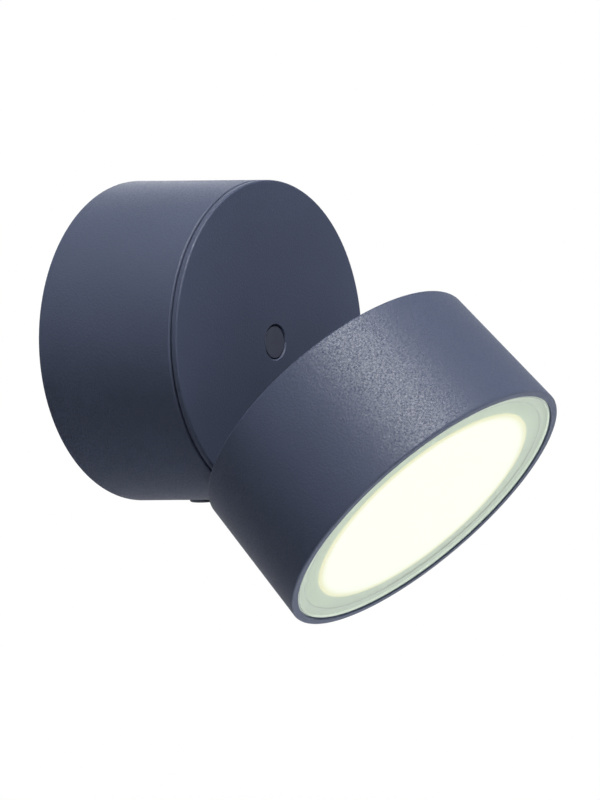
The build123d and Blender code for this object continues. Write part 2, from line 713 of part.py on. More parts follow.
def lead_window():
    """Side window through the hub and the hollow bolt, for the leads to the hinge arm."""
    outline = Rectangle(LEAD_WINDOW_WIDTH, HUB_DIAMETER, align=(Align.CENTER, Align.MAX))
    return Pos(0, 0, lead_window_start) * extrude(outline, amount=LEAD_WINDOW_LENGTH)


def plug_hole():
    """Chamfered counterbore in the disc's face for the centre plug."""
    hole = PLUG_HOLE / 2
    return PLUG_PLACE * turned(
        (0, plug_floor),
        (hole, plug_floor),
        (hole, BASE_DEPTH - PLUG_HOLE_CHAMFER),
        (hole + PLUG_HOLE_CHAMFER, BASE_DEPTH),
        (0, BASE_DEPTH),
    )


def swivel_disc():
    """Front disc: shallow cup with a hub, radial ribs, a sealing skirt and a stop lug."""
    skirt = base_radius(housing_front) - BASE_WALL - SKIRT_CLEARANCE
    disc = turned(
        (hub_bore, BASE_DEPTH),
        (disc_radius, BASE_DEPTH, FRONT_EDGE_ROUND),
        (base_radius(disc_rear), disc_rear, DISC_REAR_ROUND),
        (skirt, disc_rear),
        (skirt, skirt_end),
        (skirt - SKIRT_WALL, skirt_end),
        (skirt - SKIRT_WALL, face_back),
        (HUB_DIAMETER / 2, face_back),
        (HUB_DIAMETER / 2, hub_end),
        (hub_bore, hub_end),
    )
    disc -= plug_hole()
    inner = HUB_DIAMETER / 2 - DISC_RIB_THICKNESS / 2
    outer = skirt - SKIRT_WALL / 2
    rib = Pos(inner, 0) * Rectangle(outer - inner, DISC_RIB_THICKNESS, align=(Align.MIN, Align.CENTER))
    rib_solid = Pos(0, 0, face_back) * extrude(rib, amount=-DISC_RIB_HEIGHT)
    disc += [Rot(0, 0, angle) * rib_solid for angle in DISC_RIB_ANGLES]
    lug = Pos(0, -STOP_RADIUS) * Rectangle(STOP_LUG_WIDTH, STOP_LUG_LENGTH)
    lug_length = face_back - bulkhead_front - STOP_LUG_GAP
    disc += Pos(0, 0, face_back) * extrude(lug, amount=-lug_length)
    groove = skirt - SEAL_CORD + SKIRT_CLEARANCE
    half = SEAL_CORD / 2 + SEAL_SIDE_ROOM
    seal_out = housing_front - SEAL_OUT_FROM_FRONT
    disc -= ring(groove - SEAL_SIDE_ROOM, skirt + SKIRT_CLEARANCE, seal_out - half, seal_out + half)
    disc -= lead_window()
    spigot_hole = rod(SPIGOT_DIAMETER / 2 + SPIGOT_CLEARANCE, face_back, BASE_DEPTH)
    disc -= Pos(0, hinge_height, 0) * spigot_hole
    disc -= group(arm_screw_places, rod(ARM_SCREW_DIAMETER / 2 + SCREW_CLEARANCE, face_back, BASE_DEPTH))
    return disc


def swivel_seal():
    """Rubber cord in the skirt's groove, against the wall of the housing's front recess."""
    recess = base_radius(housing_front) - BASE_WALL
    seal = Torus(recess - FACE_GAP - SEAL_CORD / 2, SEAL_CORD / 2)
    return Pos(0, 0, housing_front - SEAL_OUT_FROM_FRONT) * seal


def swivel_bolt():
    """Hollow bolt screwed into the hub from behind: the swivel's axle, and the way for the leads."""
    tip = plug_floor - BOLT_END_GAP
    bolt = rod(bolt_radius, bolt_seat, tip)
    hexagon = RegularPolygon(BOLT_HEAD_ACROSS / 2, 6, major_radius=False)
    bolt += Pos(0, 0, bolt_seat) * extrude(hexagon, amount=-BOLT_HEAD_HEIGHT)
    bolt -= rod(BOLT_BORE / 2, bolt_seat - BOLT_HEAD_HEIGHT, tip)
    return bolt - lead_window()


def spring_washer():
    """Flat washer that the disc spring presses on the bulkhead."""
    return ring(bush_bore, WASHER_DIAMETER / 2, washer_back, washer_front)


def disc_spring():
    """Conical spring between the bolt's head and the washer, which sets the swivel's friction."""
    rise = SPRING_HEIGHT - SPRING_THICKNESS
    return turned(
        (bush_bore, bolt_seat),
        (SPRING_DIAMETER / 2, bolt_seat + rise),
        (SPRING_DIAMETER / 2, washer_back),
        (bush_bore, bolt_seat + SPRING_THICKNESS),
    )


def centre_plug():
    """Rubber plug that closes the hub's front hole, a little below the disc's face."""
    head = PLUG_HOLE / 2 - PLUG_CLEARANCE
    stem = BOLT_BORE / 2 - PLUG_STEM_CLEARANCE - PLUG_BELOW_AXIS
    top = BASE_DEPTH - PLUG_RECESS
    return PLUG_PLACE * turned(
        (0, plug_floor - PLUG_STEM_LENGTH),
        (stem, plug_floor - PLUG_STEM_LENGTH),
        (stem, plug_floor),
        (head, plug_floor),
        (head, top, PLUG_ROUND),
        (0, top),
    )


def arm_gasket():
    """Sheet gasket between the hinge arm's foot and the disc."""
    gasket = Pos(0, 0, BASE_DEPTH) * extrude(foot_outline, amount=ARM_GASKET_THICKNESS)
    gasket -= Pos(0, hinge_height, 0) * rod(SPIGOT_DIAMETER / 2 + SPIGOT_CLEARANCE, BASE_DEPTH, arm_base)
    return gasket - group(
        arm_screw_places, rod(ARM_SCREW_DIAMETER / 2 + SCREW_CLEARANCE, BASE_DEPTH, arm_base)
    )


def hinge_arm():
    """Cast arm: foot on the disc, neck, and a barrel with a way for the leads through its middle."""
    foot = Pos(0, 0, arm_base) * extrude(foot_outline, amount=FOOT_THICKNESS)
    foot = fillet(foot.faces().sort_by(Axis.Z)[-1].edges(), FOOT_EDGE_ROUND)
    foot_top = arm_base + FOOT_THICKNESS - FOOT_EDGE_ROUND
    root = Line(
        (hinge_height + NECK_ABOVE_HINGE, foot_top),
        (hinge_height - NECK_BELOW_HINGE, foot_top),
    )
    eye = Pos(hinge_height, hinge_out) * Circle(BARREL_DIAMETER / 2)
    neck = make_hull(eye.edges() + root.edges())
    arm = foot + extrude(Plane.YZ * neck, amount=NECK_WIDTH / 2, both=True)
    arm += extrude(Plane.YZ * eye, amount=BARREL_WIDTH / 2, both=True)
    arm += Pos(0, hinge_height, 0) * rod(SPIGOT_DIAMETER / 2, face_back - SPIGOT_REACH, arm_base)
    barrel_front = hinge_out + BARREL_DIAMETER / 2
    arm -= Pos(0, hinge_height, 0) * rod(LEAD_BORE / 2, face_back - SPIGOT_REACH, barrel_front)
    slot = SlotOverall(LEAD_SLOT_LENGTH, LEAD_BORE, rotation=90)
    arm -= Pos(0, hinge_height, hinge_out) * extrude(slot, amount=BARREL_DIAMETER / 2)
    trunnion = Pos(hinge_height, hinge_out) * Circle(trunnion_radius + RUNNING_CLEARANCE)
    bite = BARREL_WIDTH / 2 - TRUNNION_BITE - TRUNNION_END_GAP
    for side in (-1, 1):
        hole = extrude(Plane.YZ * trunnion, amount=side * BARREL_WIDTH / 2)
        arm -= hole - extrude(Plane.YZ * trunnion, amount=side * bite)
    thread = ARM_SCREW_DIAMETER / 2 + THREAD_CLEARANCE
    arm -= group(arm_screw_places, rod(thread, arm_base, arm_base + ARM_SCREW_BITE + ARM_SCREW_END))
    return arm


def arm_screws():
    """Screws from behind the disc into the hinge arm's foot."""
    length = DISC_FACE + ARM_GASKET_THICKNESS + ARM_SCREW_BITE
    screw = socket_screw(
        ARM_SCREW_DIAMETER, length, ARM_SCREW_HEAD, ARM_SCREW_HEAD_HEIGHT, ARM_SCREW_SOCKET
    )
    return group(arm_screw_places, Pos(0, 0, face_back) * Rot(180, 0, 0) * screw)


def head_shell():
    """Drum of the head: slight flare, deep rear recess, inner flange and a ledge for the lens."""
    slope_start = lens_seat - LEDGE_HEIGHT - LEDGE_WIDTH
    return turned(
        (head_rear_radius, 0, HEAD_REAR_ROUND),
        (head_front_radius, HEAD_LENGTH, HEAD_FRONT_ROUND),
        (lens_bore, HEAD_LENGTH, RIM_INNER_ROUND),
        (lens_bore, lens_seat),
        (ledge_radius, lens_seat),
        (ledge_radius, lens_seat - LEDGE_HEIGHT),
        (head_wall(slope_start), slope_start),
        (head_wall(flange_front), flange_front),
        (flange_radius, flange_front),
        (flange_radius, RECESS_DEPTH),
        (head_wall(RECESS_DEPTH), RECESS_DEPTH, CASTING_ROUND),
        (head_wall(0), 0, HEAD_REAR_ROUND),
    ) - heat_sink_threads()


def heat_sink_threads():
    """Threaded holes in the shell's flange for the heat sink's screws."""
    hole = rod(small_thread, flange_front - SMALL_SCREW_BITE, flange_front)
    return group(heat_sink_screw_places(), hole)


def heat_sink_screw_places():
    """Screw places round the heat sink's edge, clear of the hinge."""
    return on_circle(heat_sink_screw_radius, HEAT_SINK_SCREW_COUNT, 90)


def ear():
    """One hinge ear, standing back from the floor of the recess to the hinge axis."""
    eye = Pos(hinge_below_axis, HINGE_INSIDE_HEAD) * Circle(EAR_DIAMETER / 2)
    root_height = RECESS_DEPTH + LEAD_CHANNEL_FLOOR / 2
    root = Line(
        (hinge_below_axis - EAR_ROOT / 2, root_height),
        (hinge_below_axis + EAR_ROOT / 2, root_height),
    )
    outline = make_hull(eye.edges() + root.edges())
    outline -= Pos(hinge_below_axis, HINGE_INSIDE_HEAD) * Circle(trunnion_radius + THREAD_CLEARANCE)
    return Pos(ear_inner, 0, 0) * extrude(Plane.YZ * outline, amount=EAR_THICKNESS)


def cooling_ribs():
    """Upright ribs behind the plate, above the hinge ears and below the head's rear rim."""
    low = hinge_below_axis + EAR_ROOT / 2 + COOLING_RIB_ABOVE_EARS
    strip = Pos(0, low) * Rectangle(
        COOLING_RIB_THICKNESS, 2 * boss_radius, align=(Align.CENTER, Align.MIN)
    )
    outline = Sketch() + [Pos(x, 0) * strip for x in spaced(COOLING_RIB_COUNT, COOLING_RIB_PITCH)]
    outline &= Circle(boss_radius - COOLING_RIB_INSET)
    root = RECESS_DEPTH + LEAD_CHANNEL_FLOOR / 2
    return Pos(0, 0, root) * extrude(outline, amount=RECESS_DEPTH - COOLING_RIB_HEIGHT - root)


def heat_sink():
    """Cast rear plate of the head: carries the LED board in front, hinge ears and ribs behind."""
    sink = turned(
        (0, RECESS_DEPTH),
        (boss_radius, RECESS_DEPTH, BOSS_CLEARANCE),
        (boss_radius, flange_front),
        (plate_radius, flange_front),
        (plate_radius, plate_front),
        (0, plate_front),
    )
    right_ear = ear()
    sink += right_ear
    sink += mirror(right_ear, Plane.YZ)
    sink += cooling_ribs()
    channel_end = -board_radius - LEAD_CHANNEL_PAST_BOARD
    length = hinge_below_axis - channel_end + LEAD_CHANNEL_WIDTH / 2
    middle = channel_end + length / 2
    channel = Pos(0, middle) * SlotOverall(length, LEAD_CHANNEL_WIDTH, rotation=90)
    sink -= Pos(0, 0, channel_floor) * extrude(channel, amount=plate_front - channel_floor)
    sink -= Pos(0, hinge_below_axis, 0) * rod(HEAD_GROMMET_DIAMETER / 2, RECESS_DEPTH, channel_floor)
    inner, outer = heat_sink_seal_radii()
    sink -= ring(inner, outer, flange_front, flange_front + HEAT_SINK_SEAL_DEPTH)
    sink -= group(heat_sink_screw_places(), rod(small_hole, flange_front, plate_front))
    sink -= group(board_screw_places(), rod(small_thread, plate_front - SMALL_SCREW_BITE, plate_front))
    return sink


def heat_sink_seal_radii():
    """Inner and outer radius of the seal between heat sink and shell."""
    inner = flange_radius + HEAT_SINK_SEAL_INSET
    return inner, inner + HEAT_SINK_SEAL_WIDTH


def heat_sink_seal():
    """Seal ring in a groove of the heat sink, against the shell's flange."""
    inner, outer = heat_sink_seal_radii()
    return ring(inner, outer, flange_front, flange_front + HEAT_SINK_SEAL_DEPTH)


def heat_sink_screws():
    """Screws through the heat sink's edge into the shell's flange."""
    screw = Pos(0, 0, plate_front) * small_screw(HEAT_SINK_PLATE + SMALL_SCREW_BITE)
    return group(heat_sink_screw_places(), screw)


def hinge_screws():
    """Shoulder screws through the ears that form the two trunnions of the hinge."""
    tip = BARREL_WIDTH / 2 - TRUNNION_BITE
    screw = socket_screw(
        TRUNNION_DIAMETER, ear_outer - tip, HINGE_SCREW_HEAD, HINGE_SCREW_HEAD_HEIGHT, HINGE_SCREW_SOCKET
    )
    right = Pos(ear_outer, hinge_below_axis, HINGE_INSIDE_HEAD) * Rot(0, 90, 0) * screw
    return Part() + [right, mirror(right, Plane.YZ)]


def friction_washers():
    """Washers between the barrel's ends and the ears, which hold the head where it is set."""
    start = BARREL_WIDTH / 2 + FACE_GAP
    end = start + FRICTION_WASHER_THICKNESS
    bore = trunnion_radius + THREAD_CLEARANCE
    washer = Rot(0, 90, 0) * ring(bore, FRICTION_WASHER_DIAMETER / 2, start, end)
    right = Pos(0, hinge_below_axis, HINGE_INSIDE_HEAD) * washer
    return Part() + [right, mirror(right, Plane.YZ)]


def head_grommet():
    """Rubber bush for the leads where they enter the head behind the hinge."""
    outer = HEAD_GROMMET_DIAMETER / 2
    lip_top = channel_floor + HEAD_GROMMET_LIP_THICKNESS
    bush = turned(
        (outer - HEAD_GROMMET_WALL, RECESS_DEPTH),
        (outer, RECESS_DEPTH),
        (outer, channel_floor),
        (outer + HEAD_GROMMET_LIP, channel_floor),
        (outer + HEAD_GROMMET_LIP, lip_top),
        (outer - HEAD_GROMMET_WALL, lip_top),
    )
    return Pos(0, hinge_below_axis, 0) * bush


def board_screw_places():
    """Screw places round the LED board's edge."""
    return on_circle(board_screw_radius, BOARD_SCREW_COUNT, 90)


def thermal_pad():
    """Thermal pad between the heat sink and the LED board."""
    pad = rod(board_radius - PAD_INSET, plate_front, pad_front)
    return pad - group(board_screw_places(), rod(small_hole, plate_front, pad_front))


def led_board():
    """Round aluminium board that carries the LEDs."""
    board = rod(board_radius, pad_front, board_front)
    return board - group(board_screw_places(), rod(small_hole, pad_front, board_front))


def led_chips():
    """LED packages in two rings on the board."""
    chip = Pos(0, 0, board_front) * extrude(Rectangle(CHIP_LENGTH, CHIP_WIDTH), amount=CHIP_HEIGHT)
    rings = zip(CHIP_RING_RADII, CHIP_RING_COUNTS)
    places = [place for radius, count in rings for place in on_circle(radius, count, 0)]
    return group(places, chip)


def led_connector():
    """Two-pole plug-in connector at the board's lower edge."""
    height = CONNECTOR_HEIGHT
    body = extrude(Rectangle(CONNECTOR_LENGTH, CONNECTOR_WIDTH), amount=height)
    bore = Rot(90, 0, 0) * rod(CONNECTOR_WIRE_BORE / 2, 0, CONNECTOR_WIRE_DEPTH)
    entry = CONNECTOR_WIRE_DEPTH - CONNECTOR_WIDTH / 2
    for side in (-1, 1):
        body -= Pos(side * CONNECTOR_WIRE_PITCH / 2, entry, height / 2) * bore
    return Pos(0, CONNECTOR_INSET - board_radius, board_front) * body


def board_screws():
    """Screws that hold the LED board and pad on the heat sink."""
    length = BOARD_THICKNESS + PAD_THICKNESS + SMALL_SCREW_BITE
    return group(board_screw_places(), Pos(0, 0, board_front) * small_screw(length))


def reflector():
    """White cone from the LED board to the lens, with a flange behind the glass that seats the diffuser."""
    rear = REFLECTOR_REAR_DIAMETER / 2
    mouth = diffuser_seat - REFLECTOR_LIP
    flange_back = reflector_front - REFLECTOR_FLANGE
    return turned(
        (rear, board_front),
        (rear + REFLECTOR_WALL, board_front),
        (mouth + REFLECTOR_WALL, flange_back),
        (reflector_radius, flange_back),
        (reflector_radius, reflector_front),
        (diffuser_seat, reflector_front),
        (diffuser_seat, diffuser_back),
        (mouth, diffuser_back),
    )


def diffuser():
    """Opal disc in the reflector's mouth, just behind the glass, that hides the LEDs."""
    return rod(diffuser_seat - DIFFUSER_CLEARANCE, diffuser_back, diffuser_front)


def lens_gasket():
    """Silicone ring between the shell's ledge and the lens."""
    return ring(ledge_radius + LENS_GASKET_INSET, lens_radius, lens_seat, lens_back)


def lens_glass():
    """Clear glass lens with a ground bevel, a little below the rim."""
    return turned(
        (0, lens_back),
        (lens_radius, lens_back),
        (lens_radius, lens_front - LENS_CHAMFER),
        (lens_radius - LENS_CHAMFER, lens_front),
        (0, lens_front),
    )


WALL_PIECES = (
    base_housing,
    wall_gasket,
    wall_bracket,
    cable_grommet,
    housing_screw,
    clinch_nut,
    terminal_block,
    terminal_screws,
    terminal_mount_screws,
    earth_washer,
    earth_screw,
    led_driver,
    driver_screws,
    swivel_bush,
    stop_pin,
    swivel_disc,
    swivel_seal,
    swivel_bolt,
    spring_washer,
    disc_spring,
    centre_plug,
    arm_gasket,
    hinge_arm,
    arm_screws,
)

HEAD_PIECES = (
    head_shell,
    heat_sink,
    heat_sink_seal,
    heat_sink_screws,
    hinge_screws,
    friction_washers,
    head_grommet,
    thermal_pad,
    led_board,
    led_chips,
    led_connector,
    board_screws,
    reflector,
    diffuser,
    lens_gasket,
    lens_glass,
)


def main():
    """Build every piece in its frame and write one file for each."""
    os.makedirs("parts", exist_ok=True)
    for frame, pieces in ((WALL_FRAME, WALL_PIECES), (HEAD_FRAME, HEAD_PIECES)):
        for piece in pieces:
            export_step(frame * piece(), f"parts/{piece.__name__}.step")


main()
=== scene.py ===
import math

import bpy
from mathutils import Matrix, Vector


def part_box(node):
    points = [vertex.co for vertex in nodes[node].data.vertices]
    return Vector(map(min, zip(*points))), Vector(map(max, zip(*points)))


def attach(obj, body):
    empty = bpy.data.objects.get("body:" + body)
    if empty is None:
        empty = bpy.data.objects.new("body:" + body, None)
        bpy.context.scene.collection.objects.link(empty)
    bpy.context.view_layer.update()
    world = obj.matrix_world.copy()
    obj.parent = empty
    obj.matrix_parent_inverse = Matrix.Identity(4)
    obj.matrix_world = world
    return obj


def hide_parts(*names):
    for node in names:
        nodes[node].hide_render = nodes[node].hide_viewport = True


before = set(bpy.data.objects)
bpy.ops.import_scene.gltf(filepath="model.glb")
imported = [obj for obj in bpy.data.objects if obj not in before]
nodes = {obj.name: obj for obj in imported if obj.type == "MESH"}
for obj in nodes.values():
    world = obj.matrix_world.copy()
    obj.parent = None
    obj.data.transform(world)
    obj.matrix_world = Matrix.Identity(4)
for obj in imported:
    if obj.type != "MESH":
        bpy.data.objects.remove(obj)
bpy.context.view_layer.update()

# Lengths are in metres.

# The photograph's camera, round the middle of the wall face, with its angles in degrees
CAMERA_AZIMUTH = -55.2
CAMERA_ELEVATION = 1.83
CAMERA_ROLL = -0.49
CAMERA_DISTANCE = 0.694
CAMERA_RIGHT = 0.0557
CAMERA_UP = -0.0214
CAMERA_CLIP = 0.01
FOCAL_PIXELS = 1914.7
IMAGE_HEIGHT = 800
SENSOR_MILLIMETRES = 36.0

# The head's axis runs through the middle of its rear rim.
HEAD_TILT = math.radians(44)
HEAD_AXIS = Vector((0, -math.cos(HEAD_TILT), -math.sin(HEAD_TILT)))
HEAD_REAR = Vector((0, -0.083607, -0.023269))

# The head's drum: radii from its axis, and places along the axis from the rear rim
HEAD_LENGTH = 0.048
HEAD_REAR_RADIUS = 0.0544
HEAD_FRONT_RADIUS = 0.0554
HEAD_WALL = 0.0024
HEAD_REAR_ROUND = 0.0008
HEAD_FRONT_ROUND = 0.00071
MOUTH_RADIUS = 0.05275
MOUTH_ROUND = 0.00025
LENS_SEAT = 0.0427
LEDGE_RADIUS = 0.0503
LEDGE_FOOT = 0.0401
LEDGE_SLOPE = 0.0371
FLANGE_FRONT = 0.0105
FLANGE_BACK = 0.008
FLANGE_WIDTH = 0.0093
CASTING_ROUND = 0.0015

# The gasket under the glass, and the hair that keeps it clear of the glass and its seat
GASKET_INSIDE = 0.0506
GASKET_OUTSIDE = 0.0527
GASKET_FRONT = 0.0435
GASKET_GAP = 0.00002

# How finely the turned pieces are drawn
ROUND_STEPS = 8
TURN_STEPS = 240
SHARP_ANGLE = math.radians(35)

# The radii that the glow behind the lens runs over, and its strength on the diffuser and, as painted light,
# on the reflector
GLOW_START = 0.038
GLOW_END = 0.050
DIFFUSER_GLOW = 1.13
REFLECTOR_PAINTED_LIGHT = 0.15

# The glass is ground outside this radius, at the middle of its thickness. The border widens to its back.
GROUND_RADIUS = 0.0498
GROUND_BLEND = 0.0010
GROUND_LEAN = 0.8
# Painted light: emission on the ground border, and a painted highlight along the bevel.
GROUND_PAINTED_LIGHT = 0.09
BEVEL_RADIUS = 0.0522
BEVEL_BLEND = 0.0001
BEVEL_PAINTED_HIGHLIGHT = 0.28
GLASS_INDEX = 1.5

# The middle range of a noise, where most of its values are
NOISE_LOW = 0.3
NOISE_HIGH = 0.7

# The stage: what the lamps face, and the floor below, whose shadow fades out from the middle
LIT_MIDDLE = (0, -0.06, -0.02)
AMBIENT = 0.10
FLOOR_LEVEL = -0.36
FLOOR_SIZE = 12.0
FLOOR_WHITENESS = 0.85
SHADOW_REACH = 0.9


def srgb(red, green, blue):
    """Linear colour of an sRGB colour given from 0 to 255."""
    linear = []
    for value in (red, green, blue):
        share = value / 255
        linear.append(share / 12.92 if share <= 0.04045 else ((share + 0.055) / 1.055) ** 2.4)
    return (*linear, 1.0)


def shade(colour, factor):
    """The colour, lighter or darker by the factor."""
    return (*(min(1.0, part * factor) for part in colour[:3]), 1.0)


class Finish:
    """A procedural material under construction: its principled shader and the helpers that feed it."""

    def __init__(self, name):
        self.material = bpy.data.materials.new(name)
        self.material.use_nodes = True
        self.tree = self.material.node_tree
        self.shader = self.tree.nodes["Principled BSDF"]
        self.place = self.tree.nodes.new("ShaderNodeTexCoord").outputs["Object"]

    def node(self, kind, **settings):
        made = self.tree.nodes.new(kind)
        for key, value in settings.items():
            setattr(made, key, value)
        return made

    def link(self, output, target):
        self.tree.links.new(output, target)

    def set(self, **values):
        """Sets the shader's inputs, with an underscore for each space in a name."""
        for key, value in values.items():
            self.shader.inputs[key.replace("_", " ")].default_value = value

    def feed(self, name, output):
        """Links an output to the shader's input of this name."""
        self.link(output, self.shader.inputs[name])

    def noise(self, size, detail, stretch=None):
        """Noise whose lumps are about size metres across."""
        place = self.place
        if stretch:
            mapping = self.node("ShaderNodeMapping")
            mapping.inputs["Scale"].default_value = stretch
            self.link(self.place, mapping.inputs["Vector"])
            place = mapping.outputs["Vector"]
        made = self.node("ShaderNodeTexNoise")
        made.inputs["Scale"].default_value = 1 / size
        made.inputs["Detail"].default_value = detail
        self.link(place, made.inputs["Vector"])
        return made.outputs["Fac"]

    def ramp(self, factor, *stops):
        """A colour ramp over (position, colour) stops."""
        made = self.node("ShaderNodeValToRGB")
        elements = made.color_ramp.elements
        while len(elements) < len(stops):
            elements.new(0.5)
        for element, (position, colour) in zip(elements, stops):
            element.position = position
            element.color = colour
        self.link(factor, made.inputs["Fac"])
        return made.outputs["Color"]

    def span(self, factor, start, end, low, high):
        """The factor's range from start to end carried to low..high."""
        made = self.node("ShaderNodeMapRange")
        made.inputs["From Min"].default_value = start
        made.inputs["From Max"].default_value = end
        made.inputs["To Min"].default_value = low
        made.inputs["To Max"].default_value = high
        self.link(factor, made.inputs["Value"])
        return made.outputs["Result"]

    def spread(self, noise, low, high):
        """The noise's middle range carried to low..high."""
        return self.span(noise, NOISE_LOW, NOISE_HIGH, low, high)

    def bump(self, *layers):
        """Bump from (height, depth in metres) layers."""
        normal = None
        for height, depth in layers:
            made = self.node("ShaderNodeBump")
            made.inputs["Strength"].default_value = 1.0
            made.inputs["Distance"].default_value = depth
            self.link(height, made.inputs["Height"])
            if normal is not None:
                self.link(normal, made.inputs["Normal"])
            normal = made.outputs["Normal"]
        self.feed("Normal", normal)


def powder_coat(name, colour):
    """Fine-textured powder coat: small lumps, and grains that each catch the light in their own way."""
    finish = Finish(name)
    lumps = finish.noise(0.0007, detail=1.0)
    grain = finish.noise(0.0006, detail=2.0)
    cloud = finish.noise(0.030, detail=3.0)
    finish.set(Metallic=0.0)
    finish.feed("Specular IOR Level", finish.spread(grain, 0.006, 0.068))
    finish.feed("Base Color", finish.ramp(
        cloud,
        (NOISE_LOW, shade(colour, 0.96)),
        (NOISE_HIGH, shade(colour, 1.03)),
    ))
    finish.feed("Roughness", finish.spread(lumps, 0.44, 0.52))
    finish.bump((lumps, 0.00005), (grain, 0.00002))
    return finish.material


def metal(name, colour, rough, grain_size=0.0009, stretch=None, depth=0.000004):
    """Bare or plated metal with a fine worked surface."""
    finish = Finish(name)
    grain = finish.noise(grain_size, detail=4.0, stretch=stretch)
    stain = finish.noise(0.006, detail=3.0)
    finish.set(Metallic=1.0)
    finish.feed("Base Color", finish.ramp(
        stain,
        (0.25, shade(colour, 0.86)),
        (0.75, shade(colour, 1.06)),
    ))
    finish.feed("Roughness", finish.spread(grain, rough - 0.07, rough + 0.09))
    finish.bump((grain, depth))
    return finish.material


def moulded(name, colour, rough, grain_size=0.0005, depth=0.000008, subsurface=0.0, specular=0.5):
    """Moulded plastic or rubber with a fine spark-eroded grain."""
    finish = Finish(name)
    grain = finish.noise(grain_size, detail=3.0)
    cloud = finish.noise(0.008, detail=2.0)
    finish.set(Metallic=0.0, Subsurface_Weight=subsurface, Specular_IOR_Level=specular)
    finish.feed("Base Color", finish.ramp(
        cloud,
        (NOISE_LOW, shade(colour, 0.94)),
        (NOISE_HIGH, shade(colour, 1.04)),
    ))
    finish.feed("Roughness", finish.spread(grain, rough - 0.06, rough + 0.08))
    finish.bump((grain, depth))
    return finish.material


def from_axis(finish, lean=0.0):
    """Distance from the head's axis, with lean added for each metre behind the middle of the glass."""
    low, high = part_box("lens_glass")
    away = finish.node("ShaderNodeVectorMath", operation="SUBTRACT")
    away.inputs[1].default_value = (low + high) / 2
    finish.link(finish.place, away.inputs[0])
    across = finish.node("ShaderNodeVectorMath", operation="CROSS_PRODUCT")
    across.inputs[1].default_value = HEAD_AXIS
    finish.link(away.outputs["Vector"], across.inputs[0])
    radius = finish.node("ShaderNodeVectorMath", operation="LENGTH")
    finish.link(across.outputs["Vector"], radius.inputs[0])
    if not lean:
        return radius.outputs["Value"]
    behind = finish.node("ShaderNodeVectorMath", operation="DOT_PRODUCT")
    behind.inputs[1].default_value = -lean * HEAD_AXIS
    finish.link(away.outputs["Vector"], behind.inputs[0])
    total = finish.node("ShaderNodeMath", operation="ADD")
    finish.link(radius.outputs["Value"], total.inputs[0])
    finish.link(behind.outputs["Value"], total.inputs[1])
    return total.outputs["Value"]


def glow(finish, strength, *stops):
    """Emission that changes with the distance from the head's axis, over (millimetres, colour) stops."""
    reach = GLOW_END - GLOW_START
    places = [((millimetres / 1000 - GLOW_START) / reach, colour) for millimetres, colour in stops]
    share = finish.span(from_axis(finish), GLOW_START, GLOW_END, 0.0, 1.0)
    finish.feed("Emission Color", finish.ramp(share, *places))
    finish.set(Emission_Strength=strength)


def opal(name):
    """Diffuser lit from behind: white, with a warm yellow border."""
    finish = Finish(name)
    grain = finish.noise(0.0004, detail=2.0)
    finish.set(Metallic=0.0, Base_Color=(0.10, 0.10, 0.10, 1), Specular_IOR_Level=0.2)
    finish.feed("Roughness", finish.spread(grain, 0.45, 0.60))
    finish.bump((grain, 0.000004))
    glow(
        finish,
        DIFFUSER_GLOW,
        (40.2, srgb(255, 246, 238)),
        (41.4, srgb(245, 235, 213)),
        (42.4, srgb(232, 221, 179)),
        (43.2, srgb(227, 215, 169)),
    )
    return finish.material


def lit_white(name):
    """White moulding of the reflector, with painted light: it glows a little where it meets the diffuser,
    in place of the light that falls on it there.
    """
    finish = Finish(name)
    grain = finish.noise(0.0005, detail=3.0)
    cloud = finish.noise(0.008, detail=2.0)
    finish.set(Metallic=0.0)
    finish.feed("Base Color", finish.ramp(
        cloud,
        (NOISE_LOW, (0.575, 0.62, 0.505, 1)),
        (NOISE_HIGH, (0.615, 0.66, 0.545, 1)),
    ))
    finish.feed("Roughness", finish.spread(grain, 0.18, 0.30))
    finish.bump((grain, 0.000003))
    # Painted light: emission on the reflector, brightest next to the diffuser, standing in for the light
    # inside the head.
    glow(
        finish,
        REFLECTOR_PAINTED_LIGHT,
        (43.2, srgb(226, 228, 190)),
        (44.0, srgb(150, 156, 136)),
        (45.0, srgb(92, 100, 88)),
        (46.0, srgb(70, 78, 70)),
    )
    return finish.material


def clear_glass(name, tint, edge):
    """Clear glass, faintly tinted and barely wavy. Its ground border glows with painted light in place of
    the light inside, and its bevel carries a painted highlight line.
    """
    finish = Finish(name)
    haze = finish.noise(0.004, detail=4.0)
    wave = finish.noise(0.015, detail=1.0)
    # Painted light: the ground border and the bevel emit this pale colour, standing in for the light inside
    # and for a highlight along the edge.
    finish.set(Metallic=0.0, IOR=GLASS_INDEX, Emission_Color=srgb(226, 238, 220))
    leaning = from_axis(finish, GROUND_LEAN)
    ground = finish.span(leaning, GROUND_RADIUS, GROUND_RADIUS + GROUND_BLEND, 0.0, 1.0)
    bevel = finish.span(from_axis(finish), BEVEL_RADIUS, BEVEL_RADIUS + BEVEL_BLEND, 0.0, BEVEL_PAINTED_HIGHLIGHT)
    edge_light = finish.node("ShaderNodeMath", operation="ADD")
    finish.link(finish.span(ground, 0.0, 1.0, 0.0, GROUND_PAINTED_LIGHT), edge_light.inputs[0])
    finish.link(bevel, edge_light.inputs[1])
    finish.feed("Base Color", finish.ramp(ground, (0.0, tint), (1.0, edge)))
    finish.feed("Transmission Weight", finish.span(ground, 0.0, 1.0, 1.0, 0.0))
    finish.feed("Emission Strength", edge_light.outputs["Value"])
    finish.feed("Roughness", finish.spread(haze, 0.01, 0.05))
    finish.bump((wave, 0.000002))
    return finish.material


